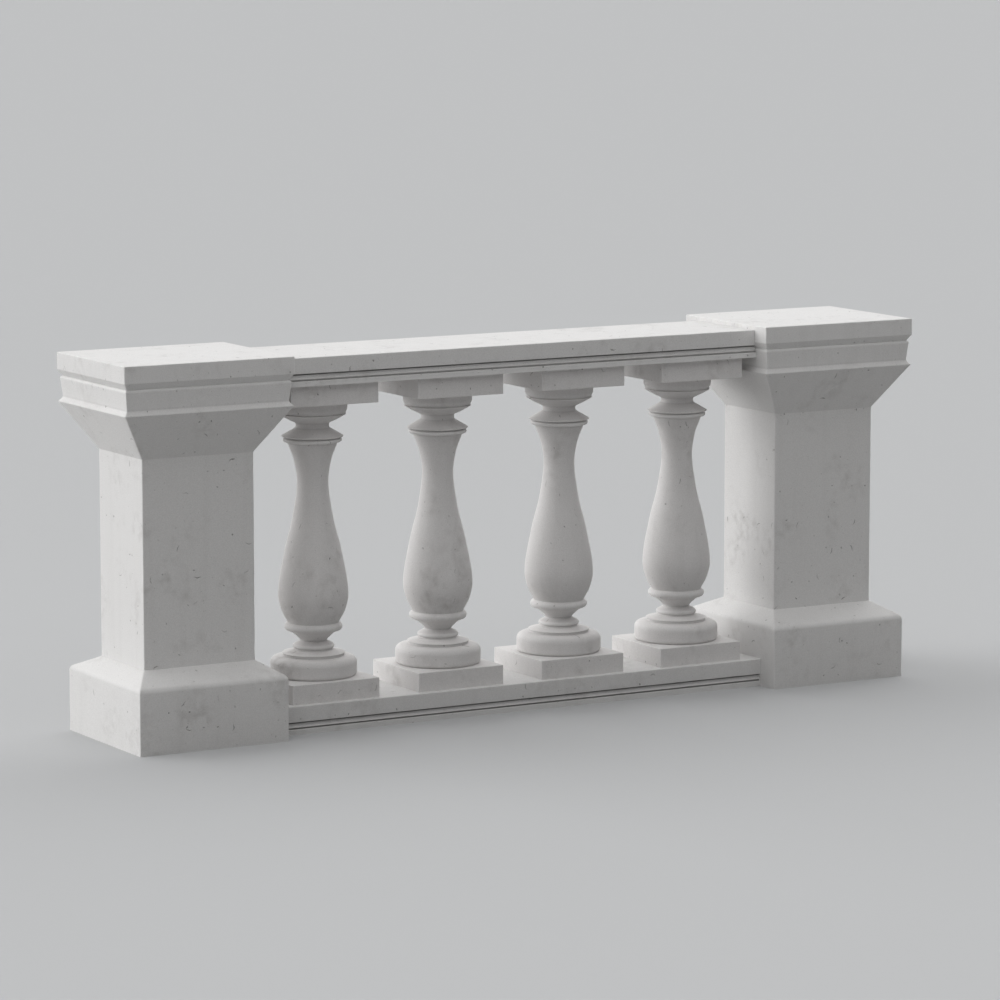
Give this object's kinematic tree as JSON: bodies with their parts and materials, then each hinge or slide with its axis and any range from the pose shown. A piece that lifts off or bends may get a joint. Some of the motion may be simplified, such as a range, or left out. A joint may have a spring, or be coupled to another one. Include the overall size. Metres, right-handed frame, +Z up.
{
  "type": "stone balustrade",
  "caption": "Stone balustrade bay: moulded top and bottom rails carry turned balusters between two capped piers; a guard along a terrace, stair head or roof edge.",
  "frame": {"origin": "on the ground, at the middle of the bay in both directions", "axes": "+X runs along the bay, +Y across it towards its back, +Z up"},
  "size_m": [2.406, 0.429, 1],
  "materials": {
    "pier_stone": "rubbed, matt",
    "rail_stone": "rubbed, matt",
    "baluster_stone": "turned and rubbed, matt"
  },
  "bodies": {
    "root": {"pier_left_plinth": "pier_stone", "pier_left_die": "pier_stone", "pier_left_corbel": "pier_stone", "pier_left_frieze": "pier_stone", "pier_left_cap": "pier_stone", "pier_right_plinth": "pier_stone", "pier_right_die": "pier_stone", "pier_right_corbel": "pier_stone", "pier_right_frieze": "pier_stone", "pier_right_cap": "pier_stone", "bottom_rail": "rail_stone", "top_rail": "rail_stone", "baluster_1_plinth": "baluster_stone", "baluster_1_shaft": "baluster_stone", "baluster_1_abacus": "baluster_stone", "baluster_2_plinth": "baluster_stone", "baluster_2_shaft": "baluster_stone", "baluster_2_abacus": "baluster_stone", "baluster_3_plinth": "baluster_stone", "baluster_3_shaft": "baluster_stone", "baluster_3_abacus": "baluster_stone", "baluster_4_plinth": "baluster_stone", "baluster_4_shaft": "baluster_stone", "baluster_4_abacus": "baluster_stone"}
  },
  "joints": []
}
